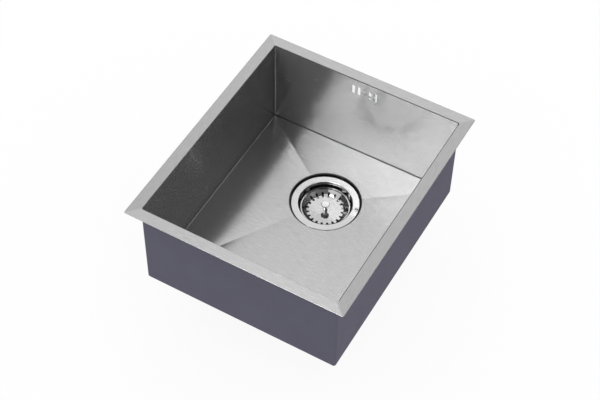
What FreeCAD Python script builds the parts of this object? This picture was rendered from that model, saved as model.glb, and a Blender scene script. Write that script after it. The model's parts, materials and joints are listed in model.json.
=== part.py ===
import FreeCAD, Part
import math
import os
import Sketcher

# Kitchen sink with a basket strainer waste and an overflow, millimetres.
# X runs to the right, Y to the overflow wall, Z up; the rim's top is at Z zero
# and its middle is the origin.

sizes = {
    # bowl
    "rim_x": 380.0,
    "rim_y": 440.0,
    "rim_width": 20.0,
    "rim_corner": 2.5,
    "sheet_gauge": 1.2,
    "wall_depth": 172.0,
    "fold_radius": 1.5,
    "corner_extra": 0.5,
    "mouth_radius": 1.0,
    "floor_fall": 3.5,
    "facet_inset": 1.0,
    "apex_share": 0.15,
    "coat_gauge": 0.8,
    "coat_margin": 1.0,
    "cut_margin": 2.0,
    # overflow openings in the back wall
    "slot_width": 5.6,
    "slot_height": 20.0,
    "slot_pitch": 10.2,
    "slot_drop": 14.3,
    "screw_slack": 0.25,
    # waste recess in the floor
    "waste_back": 123.0,
    "recess_sink": 5.5,
    "recess_gap": 1.0,
    "recess_flare": 1.8,
    "hole_gap": 1.0,
    # strainer cup
    "flange_flat": 10.3,
    "seal_thick": 1.4,
    "cup_gauge": 1.0,
    "lip_land": 0.2,
    "throat_radius": 1.5,
    "cup_radius": 45.2,
    "cup_depth": 36.0,
    "cup_corner": 5.0,
    "drain_hole": 5.0,
    "drain_circle": 13.5,
    "drain_count": 6,
    "seat_gap": 0.2,
    # seals of the waste
    "seal_inset": 1.5,
    "seal_show": 0.8,
    "gasket_thick": 3.0,
    # waste body
    "chamber_gap": 2.2,
    "flange_reach": 12.3,
    "body_wall": 3.0,
    "flange_thick": 4.0,
    "chamber_drop": 8.0,
    "funnel_height": 16.0,
    "tail_radius": 23.9,
    "tail_wall": 3.9,
    "tail_length": 29.0,
    "boss_wall": 3.6,
    "boss_height": 14.0,
    "arm_width": 5.0,
    "arm_height": 5.5,
    "inlet_gap": 2.0,
    "inlet_wall": 3.8,
    # centre screw and its insert
    "post_radius": 3.0,
    "post_head": 5.5,
    "post_head_height": 3.2,
    "post_length": 13.0,
    "insert_wall": 1.4,
    "insert_length": 11.0,
    "fit_gap": 0.1,
    # basket and what hangs below it
    "basket_gap": 3.5,
    "lip_width": 1.2,
    "cone_run": 8.8,
    "basket_gauge": 0.7,
    "basket_turn": 2.5,
    "cone_height": 6.5,
    "band_height": 8.5,
    "basket_slot": 3.8,
    "slot_bite": 4.1,
    "slot_stop": 3.4,
    "basket_slot_count": 20,
    "clip_height": 7.0,
    "clip_gauge": 0.5,
    "clip_gap": 0.4,
    "clip_slit": 1.2,
    "clip_slit_count": 4,
    "stopper_web": 3.0,
    "stopper_clear": 10.5,
    "skirt_run": 5.0,
    "stopper_lip": 3.0,
    "stopper_gap": 0.3,
    "spacer_height": 6.0,
    "spacer_radius": 6.0,
    "pull_screw": 2.5,
    "pull_head": 4.0,
    "pull_head_height": 1.8,
    "pull_thread": 7.0,
    "running_gap": 0.3,
    # knob
    "knob_stem": 3.9,
    "knob_head": 7.0,
    "knob_straight": 5.0,
    "knob_flare": 9.5,
    "knob_edge": 0.8,
    "knob_dome": 0.8,
    # overflow housing
    "box_side": 10.8,
    "box_over": 6.3,
    "box_under": 13.7,
    "box_wall": 2.2,
    "box_corner": 6.0,
    "box_round": 4.5,
    "overflow_pad": 2.0,
    "pad_border": 3.6,
    "pad_clear": 0.9,
    "pillar_wall": 1.0,
    "socket_wall": 1.3,
    "socket_length": 20.0,
    "ring_section": 1.3,
    "ring_drop": 10.0,
    # overflow screw and its insert
    "flow_screw": 2.5,
    "flow_head": 3.9,
    "flow_head_height": 2.0,
    "flow_length": 14.0,
    "flow_insert_wall": 0.7,
    "flow_insert_length": 10.0,
    "driver_width": 1.0,
    "driver_reach": 2.2,
    "driver_depth": 1.1,
    # overflow pipe and its nut
    "pipe_radius": 10.0,
    "pipe_wall": 2.0,
    "pipe_bend": 34.0,
    "pipe_entry": 14.0,
    "pipe_grip": 16.0,
    "pipe_gap": 0.2,
    "nut_side": 4.5,
    "nut_gap": 4.0,
    "nut_grip": 12.0,
    "nut_wall": 3.2,
    "nut_rib": 1.2,
    "nut_rib_width": 2.4,
    "nut_rib_count": 16,
    "washer_thick": 3.6,
}

doc = FreeCAD.newDocument("sink")
sheet = doc.addObject("Spreadsheet::Sheet", "size")
for row, (alias, number) in enumerate(sizes.items(), start=1):
    sheet.set(f"A{row}", alias)
    sheet.set(f"B{row}", str(number))
    sheet.setAlias(f"B{row}", alias)
doc.recompute()


def value(text):
    return float(sheet.evalExpression(text))


# Sizes that follow from others, as expressions of the sheet
half_x = "(size.rim_x / 2 - size.rim_width)"
half_y = "(size.rim_y / 2 - size.rim_width)"
waste_y = f"({half_y} - size.waste_back)"
recess_drop = "(size.floor_fall + size.recess_sink)"
ring_rise = "(size.cup_gauge + size.seal_thick)"
lip_radius = "(size.cup_gauge - size.lip_land)"
cup_outer = "(size.cup_radius + size.cup_gauge)"
flange_radius = f"(size.cup_radius + size.throat_radius + size.flange_flat + {lip_radius})"
seal_outer = f"({flange_radius} + size.seal_show)"
recess_radius = f"({seal_outer} + size.recess_gap)"
waste_hole = f"({cup_outer} + size.hole_gap)"
seal_inner = f"({waste_hole} + size.seal_inset)"
body_bore = f"({cup_outer} + size.chamber_gap)"
body_flange = f"({body_bore} + size.flange_reach)"
tail_bore = "(size.tail_radius - size.tail_wall)"
insert_radius = "(size.post_radius + size.insert_wall)"
boss_radius = f"({insert_radius} + size.boss_wall)"
pipe_bore = "(size.pipe_radius - size.pipe_wall)"
grip_bore = "(size.pipe_radius + size.pipe_gap)"
inlet_thread = f"({grip_bore} + size.inlet_wall)"
inlet_drop = f"(size.flange_thick + {inlet_thread} + size.inlet_gap)"
inlet_reach = f"({body_flange} + size.nut_gap + size.nut_grip)"
nut_radius = f"({inlet_thread} + size.nut_side)"
basket_lip = "(size.cup_radius - size.basket_gap)"
cone_radius = f"({basket_lip} - size.lip_width - size.basket_gauge)"
disc_radius = f"({cone_radius} - size.cone_run)"
basket_slot_in = f"({disc_radius} - size.slot_bite)"
basket_slot_out = f"({cone_radius} - size.slot_stop)"
stopper_radius = "(size.cup_radius - size.cup_corner - size.stopper_clear)"
stopper_root = f"({stopper_radius} - size.skirt_run)"
screw_hole = "(size.flow_screw + size.screw_slack)"
flow_insert = "(size.flow_screw + size.flow_insert_wall)"
pillar_radius = f"({flow_insert} + size.pillar_wall)"
socket_radius = f"({grip_bore} + size.ring_section + size.socket_wall)"
box_x = "(2 * (2 * size.slot_pitch + size.slot_width / 2 + size.box_side))"
box_y = f"(2 * {socket_radius})"
box_top = "(size.slot_drop - size.box_over)"
box_z = "(size.box_over + size.slot_height + size.box_under)"
pad_web = "(2 * (size.slot_pitch - size.slot_width / 2 - size.pad_clear))"

# Levels and spans that several pieces share
floor_edge = "(-size.wall_depth)"
seat = f"(-size.wall_depth - {recess_drop})"
seat_under = f"({seat} - size.sheet_gauge)"
ring_top = f"({seat} + {ring_rise})"
flange_under = f"({ring_top} - size.cup_gauge)"
cup_floor = f"({ring_top} - size.cup_depth)"
cup_under = f"({cup_floor} - size.cup_gauge)"
body_top = f"({seat_under} - size.gasket_thick)"
chamber_end = f"({cup_under} - size.chamber_drop)"
funnel_end = f"({chamber_end} - size.funnel_height)"
neck_end = f"({funnel_end} - size.body_wall)"
tail_end = f"({neck_end} - size.tail_length)"
inlet_z = f"({body_top} - {inlet_drop})"
clip_top = f"({cup_floor} + size.clip_height)"
stopper_top = f"({clip_top} + size.stopper_web)"
disc_under = f"({stopper_top} + size.spacer_height)"
disc_top = f"({disc_under} + size.basket_gauge)"
basket_top = f"({disc_top} + size.band_height + size.basket_gauge)"
wall_back = f"({half_y} + size.sheet_gauge)"
box_front = f"({wall_back} + size.overflow_pad)"
box_back = f"({box_front} + {box_y})"
box_low = f"(-{box_top} - {box_z})"
pipe_y = f"({box_back} - {socket_radius})"
slot_mid = "(-size.slot_drop - size.slot_height / 2)"
clip_inner = "(size.post_head + size.clip_gap)"


def plane_of(body, role):
    return [part for part in body.Origin.OriginFeatures if part.Role == role][0]


def new_body(label, base=("0", "0", "0"), tilt=0):
    body = doc.addObject("PartDesign::Body", label)
    body.Label = label
    turn = FreeCAD.Rotation(FreeCAD.Vector(1, 0, 0), tilt)
    body.Placement = FreeCAD.Placement(FreeCAD.Vector(0, 0, 0), turn)
    for axis, text in zip("xyz", base):
        body.setExpression(f"Placement.Base.{axis}", text)
    return body


def bind(sketch, kind, item, spot, text):
    number = sketch.addConstraint(Sketcher.Constraint(kind, item, spot, value(text)))
    sketch.setExpression(f"Constraints[{number}]", text)


def draw_circle(sketch, x, y, radius):
    middle = FreeCAD.Vector(value(x), value(y), 0)
    circle = Part.Circle(middle, FreeCAD.Vector(0, 0, 1), value(radius))
    item = sketch.addGeometry(circle, False)
    bind(sketch, "DistanceX", item, 3, x)
    bind(sketch, "DistanceY", item, 3, y)
    number = sketch.addConstraint(Sketcher.Constraint("Radius", item, value(radius)))
    sketch.setExpression(f"Constraints[{number}]", radius)


def draw_segment(sketch, start, end):
    # Returns the drawn item and which of its ends is the first and the last;
    # an arc carries its middle and its sense, one for anticlockwise.
    first = FreeCAD.Vector(value(start[0]), value(start[1]), 0)
    last = FreeCAD.Vector(value(end[0]), value(end[1]), 0)
    if len(end) == 2:
        return sketch.addGeometry(Part.LineSegment(first, last), False), 1, 2
    middle = FreeCAD.Vector(value(end[2]), value(end[3]), 0)
    circle = Part.Circle(middle, FreeCAD.Vector(0, 0, 1), first.distanceToPoint(middle))
    ends = (first, last) if end[4] > 0 else (last, first)
    angles = [math.atan2(spot.y - middle.y, spot.x - middle.x) for spot in ends]
    item = sketch.addGeometry(Part.ArcOfCircle(circle, angles[0], angles[1]), False)
    chord = last - first
    if abs(chord.x) > abs(chord.y):
        bind(sketch, "DistanceY", item, 3, end[3])
    else:
        bind(sketch, "DistanceX", item, 3, end[2])
    return (item, 1, 2) if end[4] > 0 else (item, 2, 1)


def draw_outline(sketch, corners):
    drawn = []
    for start, end in zip(corners, corners[1:] + corners[:1]):
        drawn.append(draw_segment(sketch, start, end))
    for here, after in zip(drawn, drawn[1:] + drawn[:1]):
        sketch.addConstraint(Sketcher.Constraint("Coincident", here[0], here[2], after[0], after[1]))
    for corner, (item, first, last) in zip(corners, drawn):
        bind(sketch, "DistanceX", item, first, corner[0])
        bind(sketch, "DistanceY", item, first, corner[1])


def new_sketch(body, name, role, offset, outlines=(), circles=()):
    sketch = body.newObject("Sketcher::SketchObject", f"{body.Label}_{name}")
    sketch.AttachmentSupport = (plane_of(body, role), [""])
    sketch.MapMode = "FlatFace"
    sketch.setExpression("AttachmentOffset.Base.z", offset)
    for corners in outlines:
        draw_outline(sketch, corners)
    for circle in circles:
        draw_circle(sketch, *circle)
    doc.recompute()
    return sketch


def extrude(body, kind, name, sketch, length, back=False):
    feature = body.newObject(f"PartDesign::{kind}", f"{body.Label}_{name}")
    feature.Profile = sketch
    feature.Reversed = back
    feature.setExpression("Length", length)
    doc.recompute()
    return feature


def revolve(body, kind, name, corners, offset="0"):
    sketch = new_sketch(body, f"{name}_outline", "XZ_Plane", offset, [corners])
    feature = body.newObject(f"PartDesign::{kind}", f"{body.Label}_{name}")
    feature.Profile = sketch
    feature.ReferenceAxis = (sketch, ["V_Axis"])
    feature.Angle = 360
    doc.recompute()
    return feature


def loft(body, kind, name, first, last):
    feature = body.newObject(f"PartDesign::{kind}", f"{body.Label}_{name}")
    feature.Profile = first
    feature.Sections = [last]
    feature.Ruled = True
    doc.recompute()
    return feature


def round_edges(body, name, radius, wanted):
    base = body.Tip
    names = [f"Edge{n}" for n, edge in enumerate(base.Shape.Edges, start=1) if wanted(edge.BoundBox)]
    feature = body.newObject("PartDesign::Fillet", f"{body.Label}_{name}")
    feature.Base = (base, names)
    feature.setExpression("Radius", radius)
    doc.recompute()
    return feature


def repeat_round(body, name, feature, sketch, count):
    pattern = body.newObject("PartDesign::PolarPattern", f"{body.Label}_{name}")
    pattern.Originals = [feature]
    pattern.Axis = (sketch, ["N_Axis"])
    pattern.Angle = 360
    pattern.setExpression("Occurrences", count)
    body.Tip = pattern
    doc.recompute()
    return pattern


def rounded(x_low, x_high, y_low, y_high, radius):
    # Rectangle with four round corners, drawn anticlockwise
    left = f"({x_low} + {radius})"
    right = f"({x_high} - {radius})"
    low = f"({y_low} + {radius})"
    high = f"({y_high} - {radius})"
    return [
        (left, y_low, left, low, 1),
        (right, y_low),
        (x_high, low, right, low, 1),
        (x_high, high),
        (right, y_high, right, high, 1),
        (left, y_high),
        (x_low, high, left, high, 1),
        (x_low, low),
    ]


def rectangle(x_low, x_high, y_low, y_high):
    return [(x_low, y_low), (x_high, y_low), (x_high, y_high), (x_low, y_high)]


def centred(half_width, half_length, radius):
    return rounded(f"(-{half_width})", half_width, f"(-{half_length})", half_length, radius)


def floor_rectangle(share):
    # The flat of the floor inside the folds, drawn in towards the waste by a share
    border = "(size.fold_radius + size.facet_inset)"
    run_x = f"(({half_x} - {border}) * {share})"
    far = f"({waste_y} + ({half_y} - {border} - {waste_y}) * {share})"
    near = f"({waste_y} - ({half_y} - {border} + {waste_y}) * {share})"
    return rectangle(f"(-{run_x})", run_x, near, far)


def floor_facets(body, kind, name, drop):
    # Four flat facets that meet in creases from the corners to the waste
    level = f"({floor_edge} - {drop})"
    deep = f"({level} - size.floor_fall * (1 - size.apex_share))"
    wide = new_sketch(body, f"{name}_edge", "XY_Plane", level, [floor_rectangle("1")])
    small = new_sketch(body, f"{name}_middle", "XY_Plane", deep, [floor_rectangle("size.apex_share")])
    return loft(body, kind, name, wide, small)


def flat_at(level):
    # Picks the edges that lie at one height
    height = value(level)
    near = value("size.seat_gap") / 100
    return lambda box: abs(box.ZMin - height) < near and abs(box.ZMax - height) < near


def inside_at(level, reach_x, reach_y):
    # Picks the edges at one height that lie within a rectangle about the origin
    at_height = flat_at(level)
    near = value("size.seat_gap")
    far_x = value(reach_x) + near
    far_y = value(reach_y) + near

    def wanted(box):
        reach = max(abs(box.XMin), abs(box.XMax)), max(abs(box.YMin), abs(box.YMax))
        return at_height(box) and reach[0] < far_x and reach[1] < far_y

    return wanted


def upright_at(depth):
    # Picks the edges that lie in one plane across the Y axis
    place = value(depth)
    near = value("size.seat_gap") / 100
    return lambda box: abs(box.YMin - place) < near and abs(box.YMax - place) < near


def ring(label, inner, outer, low, high, base=("0", "0", "0"), tilt=0):
    body = new_body(label, base, tilt)
    revolve(body, "Revolution", "turn", rectangle(inner, outer, low, high))
    return body


at_waste = ("0", waste_y, "0")

# Bowl: rim, walls and floor of one sheet
bowl = new_body("bowl")
outer_x = f"({half_x} + size.sheet_gauge)"
outer_y = f"({half_y} + size.sheet_gauge)"
bowl_corner = "(size.fold_radius + size.corner_extra)"
outer_corner = f"({bowl_corner} + size.sheet_gauge)"
rim_plan = centred("(size.rim_x / 2)", "(size.rim_y / 2)", "size.rim_corner")
rim_sketch = new_sketch(bowl, "rim_plan", "XY_Plane", "0", [rim_plan])
extrude(bowl, "Pad", "rim", rim_sketch, "size.sheet_gauge", True)
shell_plan = new_sketch(bowl, "shell_plan", "XY_Plane", "0", [centred(outer_x, outer_y, outer_corner)])
extrude(bowl, "Pad", "shell", shell_plan, "size.wall_depth + size.sheet_gauge", True)
hollow_plan = new_sketch(bowl, "hollow_plan", "XY_Plane", "0", [centred(half_x, half_y, bowl_corner)])
extrude(bowl, "Pocket", "hollow", hollow_plan, "size.wall_depth")
round_edges(bowl, "inner_fold", "size.fold_radius", inside_at(floor_edge, half_x, half_y))
shell_low = f"({floor_edge} - size.sheet_gauge)"
round_edges(bowl, "outer_fold", "size.fold_radius + size.sheet_gauge", flat_at(shell_low))
floor_facets(bowl, "AdditiveLoft", "under_facets", "size.sheet_gauge")
recess_outer = f"({recess_radius} + size.recess_flare + size.sheet_gauge)"
dish_plan = new_sketch(bowl, "dish_plan", "XY_Plane", shell_low, (), [("0", waste_y, recess_outer)])
extrude(bowl, "Pad", "dish", dish_plan, recess_drop, True)
floor_facets(bowl, "SubtractiveLoft", "facets", "0")
recess_lip = f"({recess_radius} + size.recess_flare)"
recess_wall = [("0", seat), (recess_radius, seat), (recess_lip, floor_edge), ("0", floor_edge)]
revolve(bowl, "Groove", "recess", recess_wall, f"-{waste_y}")
hole_plan = new_sketch(bowl, "hole_plan", "XY_Plane", floor_edge, (), [("0", waste_y, waste_hole)])
extrude(bowl, "Pocket", "hole", hole_plan, f"{recess_drop} + size.sheet_gauge + size.cut_margin")


def upright_slot(middle):
    left = f"({middle} - size.slot_width / 2)"
    right = f"({middle} + size.slot_width / 2)"
    high = "(-size.slot_drop - size.slot_width / 2)"
    low = "(-size.slot_drop - size.slot_height + size.slot_width / 2)"
    return [(left, low), (right, low, middle, low, 1), (right, high), (left, high, middle, high, 1)]


slots = [upright_slot(f"({step} * size.slot_pitch)") for step in (-2, -1, 1, 2)]
slot_plane = f"-({half_y} - size.cut_margin)"
slot_plan = new_sketch(bowl, "slot_plan", "XZ_Plane", slot_plane, slots, [("0", slot_mid, screw_hole)])
extrude(bowl, "Pocket", "slots", slot_plan, "size.sheet_gauge + 2 * size.cut_margin")
round_edges(bowl, "mouth", "size.mouth_radius", inside_at("0", half_x, half_y))

# Coat on the outside of the walls and the floor
coat = new_body("sound_coat")
coat_top = "(-size.sheet_gauge - size.coat_margin)"
coat_low = f"({shell_low} - size.coat_gauge)"
coat_x = f"({outer_x} + size.coat_gauge)"
coat_y = f"({outer_y} + size.coat_gauge)"
coat_plan = new_sketch(coat, "plan", "XY_Plane", coat_top,
                       [centred(coat_x, coat_y, f"({outer_corner} + size.coat_gauge)")])
extrude(coat, "Pad", "shell", coat_plan, f"{coat_top} - {coat_low}", True)
inner_plan = new_sketch(coat, "inner_plan", "XY_Plane", coat_top, [centred(outer_x, outer_y, outer_corner)])
extrude(coat, "Pocket", "hollow", inner_plan, f"{coat_top} - {shell_low}")
round_edges(coat, "inner_fold", "size.fold_radius + size.sheet_gauge", inside_at(shell_low, outer_x, outer_y))
coat_fold = "size.fold_radius + size.sheet_gauge + size.coat_gauge"
round_edges(coat, "outer_fold", coat_fold, flat_at(coat_low))
floor_facets(coat, "AdditiveLoft", "under_facets", "(size.sheet_gauge + size.coat_gauge)")
floor_facets(coat, "SubtractiveLoft", "facets", "size.sheet_gauge")
bare_radius = f"({recess_outer} + size.coat_margin)"
bare_plan = new_sketch(coat, "bare_plan", "XY_Plane", floor_edge, (), [("0", waste_y, bare_radius)])
extrude(coat, "Pocket", "bare_ring", bare_plan, f"{recess_drop} + size.floor_fall + size.cut_margin")
bare_x = f"({box_x} / 2 + size.coat_margin)"
bare_window = rounded(f"(-{bare_x})", bare_x, f"({box_low} - size.coat_margin)",
                      f"(-{box_top} + size.coat_margin)", "size.box_corner")
window_plan = new_sketch(coat, "window_plan", "XZ_Plane", f"-({wall_back} - size.cut_margin)", [bare_window])
extrude(coat, "Pocket", "window", window_plan, "size.coat_gauge + 2 * size.cut_margin")

# Strainer cup: polished flange ring, rolled throat and a cup with drain holes
cup = new_body("strainer_cup", at_waste)
lip_middle = f"({flange_radius} - {lip_radius})"
lip_level = f"({ring_top} - {lip_radius})"
throat_middle = "(size.cup_radius + size.throat_radius)"
throat_level = f"({ring_top} - size.throat_radius)"
turn_middle = "(size.cup_radius - size.cup_corner)"
turn_level = f"({cup_floor} + size.cup_corner)"
revolve(cup, "Revolution", "turn", [
    ("(size.post_radius + size.running_gap)", cup_under),
    (turn_middle, cup_under),
    (cup_outer, turn_level, turn_middle, turn_level, 1),
    (cup_outer, throat_level),
    (throat_middle, flange_under, throat_middle, throat_level, -1),
    (flange_radius, flange_under),
    (flange_radius, lip_level),
    (lip_middle, ring_top, lip_middle, lip_level, 1),
    (throat_middle, ring_top),
    ("size.cup_radius", throat_level, throat_middle, throat_level, 1),
    ("size.cup_radius", turn_level),
    (turn_middle, cup_floor, turn_middle, turn_level, -1),
    ("(size.post_radius + size.running_gap)", cup_floor),
])
drain_spot = ("size.drain_circle", "0", "size.drain_hole")
drain_plan = new_sketch(cup, "drain_plan", "XY_Plane", turn_level, (), [drain_spot])
drain = extrude(cup, "Pocket", "drain", drain_plan, "size.cup_corner + size.cup_gauge + size.cut_margin")
repeat_round(cup, "drains", drain, drain_plan, "size.drain_count")

# Seals of the waste, above and below the sheet
ring("flange_seal", seal_inner, seal_outer, seat, flange_under, at_waste)
ring("waste_gasket", body_bore, body_flange, body_top, seat_under, at_waste)

# Waste body: flange, chamber round the cup, funnel and a short neck
catcher = new_body("waste_body", at_waste)
chamber_outer = f"({body_bore} + size.body_wall)"
revolve(catcher, "Revolution", "turn", [
    (tail_bore, neck_end),
    ("size.tail_radius", neck_end),
    (chamber_outer, f"({chamber_end} - size.body_wall)"),
    (chamber_outer, f"({body_top} - size.flange_thick)"),
    (body_flange, f"({body_top} - size.flange_thick)"),
    (body_flange, body_top),
    (body_bore, body_top),
    (body_bore, chamber_end),
    (tail_bore, funnel_end),
])
arm_reach = f"({body_bore} + size.body_wall / 2)"
arm_half = "(size.arm_width / 2)"
arm_top = f"({chamber_end} + size.arm_height)"
for name, reach_x, reach_y in (("arm_x", arm_reach, arm_half), ("arm_y", arm_half, arm_reach)):
    arm_plan = rectangle(f"(-{reach_x})", reach_x, f"(-{reach_y})", reach_y)
    arm_sketch = new_sketch(catcher, f"{name}_plan", "XY_Plane", arm_top, [arm_plan])
    extrude(catcher, "Pad", name, arm_sketch, "size.arm_height", True)
boss_plan = new_sketch(catcher, "boss_plan", "XY_Plane", cup_under, (), [("0", "0", boss_radius)])
extrude(catcher, "Pad", "boss", boss_plan, "size.boss_height", True)
insert_plan = new_sketch(catcher, "insert_plan", "XY_Plane", cup_under, (), [("0", "0", insert_radius)])
extrude(catcher, "Pocket", "insert_bore", insert_plan, "size.boss_height")
inlet_spot = ("0", inlet_z, inlet_thread)
inlet_plan = new_sketch(catcher, "inlet_plan", "XZ_Plane", f"-{body_bore}", (), [inlet_spot])
extrude(catcher, "Pad", "inlet", inlet_plan, f"{inlet_reach} - {body_bore}", True)
grip_plan = new_sketch(catcher, "grip_plan", "XZ_Plane", f"-({inlet_reach} - size.pipe_grip)", (),
                       [("0", inlet_z, grip_bore)])
extrude(catcher, "Pocket", "grip", grip_plan, "size.pipe_grip + size.cut_margin")
flow_plan = new_sketch(catcher, "flow_plan", "XZ_Plane", f"-({body_bore} - size.cut_margin)", (),
                       [("0", inlet_z, pipe_bore)])
extrude(catcher, "Pocket", "flow", flow_plan, f"{inlet_reach} - {body_bore} + size.cut_margin")

# Tail welded under the neck, as wide outside as the thread it stands for
ring("waste_tail", tail_bore, "size.tail_radius", tail_end, neck_end, at_waste)

# Screw that clamps the cup to the waste body, and the brass insert it bites in
post = new_body("centre_screw", at_waste)
post_end = f"({cup_floor} - size.post_length)"
post_head_top = f"({cup_floor} + size.post_head_height)"
revolve(post, "Revolution", "turn", [
    ("0", post_end),
    ("size.post_radius", post_end),
    ("size.post_radius", cup_floor),
    ("size.post_head", cup_floor),
    ("size.post_head", f"({post_head_top} - size.post_head_height / 3)"),
    ("(size.post_head * 2 / 3)", post_head_top),
    ("0", post_head_top),
])
insert_top = f"({cup_under} - size.seat_gap)"
ring("centre_insert", "(size.post_radius + size.fit_gap)", f"({insert_radius} - size.fit_gap)",
     f"({insert_top} - size.insert_length)", insert_top, at_waste)

# Basket: flat disc, slotted cone, plain band and a lip
basket = new_body("basket", at_waste)
turn_high = f"({disc_top} + size.basket_turn / 2)"
cone_foot = f"({disc_radius} + size.basket_turn)"
cone_top = f"({disc_top} + size.cone_height)"
band_top = f"({disc_top} + size.band_height)"
pull_hole = "(size.pull_screw + size.running_gap)"
revolve(basket, "Revolution", "turn", [
    (pull_hole, disc_under),
    (f"({disc_radius} + size.basket_gauge / 3)", disc_under),
    (f"({disc_radius} + size.basket_turn + size.basket_gauge)", f"({turn_high} - size.basket_gauge / 2)"),
    (f"({cone_radius} + size.basket_gauge)", f"({cone_top} - size.basket_gauge / 3)"),
    (f"({cone_radius} + size.basket_gauge)", band_top),
    (basket_lip, band_top),
    (basket_lip, basket_top),
    (cone_radius, basket_top),
    (cone_radius, cone_top),
    (cone_foot, turn_high),
    (disc_radius, disc_top),
    (pull_hole, disc_top),
])
slot_half = "(size.basket_slot / 2)"
slot_in = f"({basket_slot_in} + {slot_half})"
slot_out = f"({basket_slot_out} - {slot_half})"
basket_slot = [
    (slot_in, f"(-{slot_half})", slot_in, "0", 1),
    (slot_out, f"(-{slot_half})"),
    (slot_out, slot_half, slot_out, "0", 1),
    (slot_in, slot_half),
]
basket_plan = new_sketch(basket, "slot_plan", "XY_Plane", cone_top, [basket_slot])
first_slot = extrude(basket, "Pocket", "slot", basket_plan, "size.cone_height + size.cut_margin")
repeat_round(basket, "slots", first_slot, basket_plan, "size.basket_slot_count")

# Knob on the disc, with a trumpet flare under the head
knob = new_body("knob", at_waste)
flare_low = f"({disc_top} + size.knob_straight)"
flare_top = f"({flare_low} + size.knob_flare)"
knob_top = f"({flare_top} + size.knob_edge + size.knob_dome)"
flare_out = "(size.knob_head - size.knob_stem)"
flare_radius = f"((size.knob_flare * size.knob_flare + {flare_out} * {flare_out}) / (2 * {flare_out}))"
flare_middle = f"(size.knob_stem + {flare_radius})"
knob_bore_end = f"({disc_top} + size.pull_thread + size.running_gap)"
knob_bore = "(size.pull_screw + size.fit_gap)"
revolve(knob, "Revolution", "turn", [
    (knob_bore, disc_top),
    ("size.knob_stem", disc_top),
    ("size.knob_stem", flare_low),
    ("size.knob_head", flare_top, flare_middle, flare_low, -1),
    ("size.knob_head", f"({flare_top} + size.knob_edge)"),
    ("(size.knob_head - size.knob_dome)", knob_top),
    ("0", knob_top),
    ("0", knob_bore_end),
    (knob_bore, knob_bore_end),
])

# Stopper of rubber: web under the spacer and a skirt that closes on the cup
stopper = new_body("stopper", at_waste)
stopper_low = f"({cup_floor} + size.stopper_gap)"
skirt_inner = f"({stopper_radius} - size.stopper_lip)"
revolve(stopper, "Revolution", "turn", [
    (pull_hole, clip_top),
    (f"({stopper_root} - size.stopper_lip)", clip_top),
    (skirt_inner, stopper_low),
    (stopper_radius, stopper_low),
    (stopper_root, stopper_top),
    (pull_hole, stopper_top),
])

# Spacer, catch clip and the screw that holds the basket together
ring("spacer", pull_hole, "size.spacer_radius", stopper_top, disc_under, at_waste)
clip = new_body("catch_clip", at_waste)
clip_under = f"({clip_top} - size.clip_gauge)"
clip_low = f"({cup_floor} + size.clip_gauge)"
revolve(clip, "Revolution", "turn", [
    (clip_inner, clip_low),
    (f"({clip_inner} + size.clip_gauge)", clip_low),
    (f"({clip_inner} + size.clip_gauge)", clip_top),
    (pull_hole, clip_top),
    (pull_hole, clip_under),
    (clip_inner, clip_under),
])
slit_half = "(size.clip_slit / 2)"
slit_reach = f"({clip_inner} + size.cut_margin)"
slit_low = "(size.pull_head + size.clip_gap)"
slit_plan = new_sketch(clip, "slit_plan", "XY_Plane", clip_under,
                       [rectangle(slit_low, slit_reach, f"(-{slit_half})", slit_half)])
slit = extrude(clip, "Pocket", "slit", slit_plan, "size.clip_height")
repeat_round(clip, "slits", slit, slit_plan, "size.clip_slit_count")
puller = new_body("basket_screw", at_waste)
pull_low = f"({clip_under} - size.pull_head_height)"
pull_end = f"({disc_top} + size.pull_thread)"
revolve(puller, "Revolution", "turn", [
    ("0", pull_low),
    ("size.pull_head", pull_low),
    ("size.pull_head", clip_under),
    ("size.pull_screw", clip_under),
    ("size.pull_screw", pull_end),
    ("0", pull_end),
])

# Overflow housing behind the slots, with a screw pillar and a pipe socket
box = new_body("overflow_box")
box_half = f"({box_x} / 2)"
box_plan = rounded(f"(-{box_half})", box_half, box_low, f"(-{box_top})", "size.box_corner")
box_sketch = new_sketch(box, "plan", "XZ_Plane", f"-{box_front}", [box_plan])
extrude(box, "Pad", "shell", box_sketch, box_y, True)
round_edges(box, "back_round", "size.box_round", upright_at(box_back))
room_half = f"({box_half} - size.box_wall)"
room_plan = rounded(f"(-{room_half})", room_half, f"({box_low} + size.box_wall)",
                    f"(-{box_top} - size.box_wall)", "(size.box_corner - size.box_wall)")
room_sketch = new_sketch(box, "room_plan", "XZ_Plane", f"-{box_front}", [room_plan])
extrude(box, "Pocket", "room", room_sketch, f"{box_y} - size.box_wall")
pillar_spot = ("0", slot_mid, pillar_radius)
pillar_sketch = new_sketch(box, "pillar_plan", "XZ_Plane", f"-{box_front}", (), [pillar_spot])
extrude(box, "Pad", "pillar", pillar_sketch, box_y, True)
nest_sketch = new_sketch(box, "nest_plan", "XZ_Plane", f"-{box_front}", (), [("0", slot_mid, flow_insert)])
extrude(box, "Pocket", "nest", nest_sketch, "size.flow_length")
socket_sketch = new_sketch(box, "socket_plan", "XY_Plane", f"({box_low} + size.box_wall)", (),
                           [("0", pipe_y, socket_radius)])
extrude(box, "Pad", "socket", socket_sketch, "size.socket_length + size.box_wall", True)
socket_end = f"({box_low} - size.socket_length)"
throat_sketch = new_sketch(box, "throat_plan", "XY_Plane", f"({box_low} + size.box_wall)", (),
                           [("0", pipe_y, pipe_bore)])
extrude(box, "Pocket", "throat", throat_sketch, "size.box_wall + size.socket_length")
bore_sketch = new_sketch(box, "bore_plan", "XY_Plane", f"({socket_end} + size.pipe_entry)", (),
                         [("0", pipe_y, grip_bore)])
extrude(box, "Pocket", "bore", bore_sketch, "size.pipe_entry + size.cut_margin")
groove_mid = f"({box_low} - size.ring_drop)"
groove_low = f"({groove_mid} - size.ring_section - size.fit_gap)"
groove_high = f"({groove_mid} + size.ring_section + size.fit_gap)"
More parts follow.
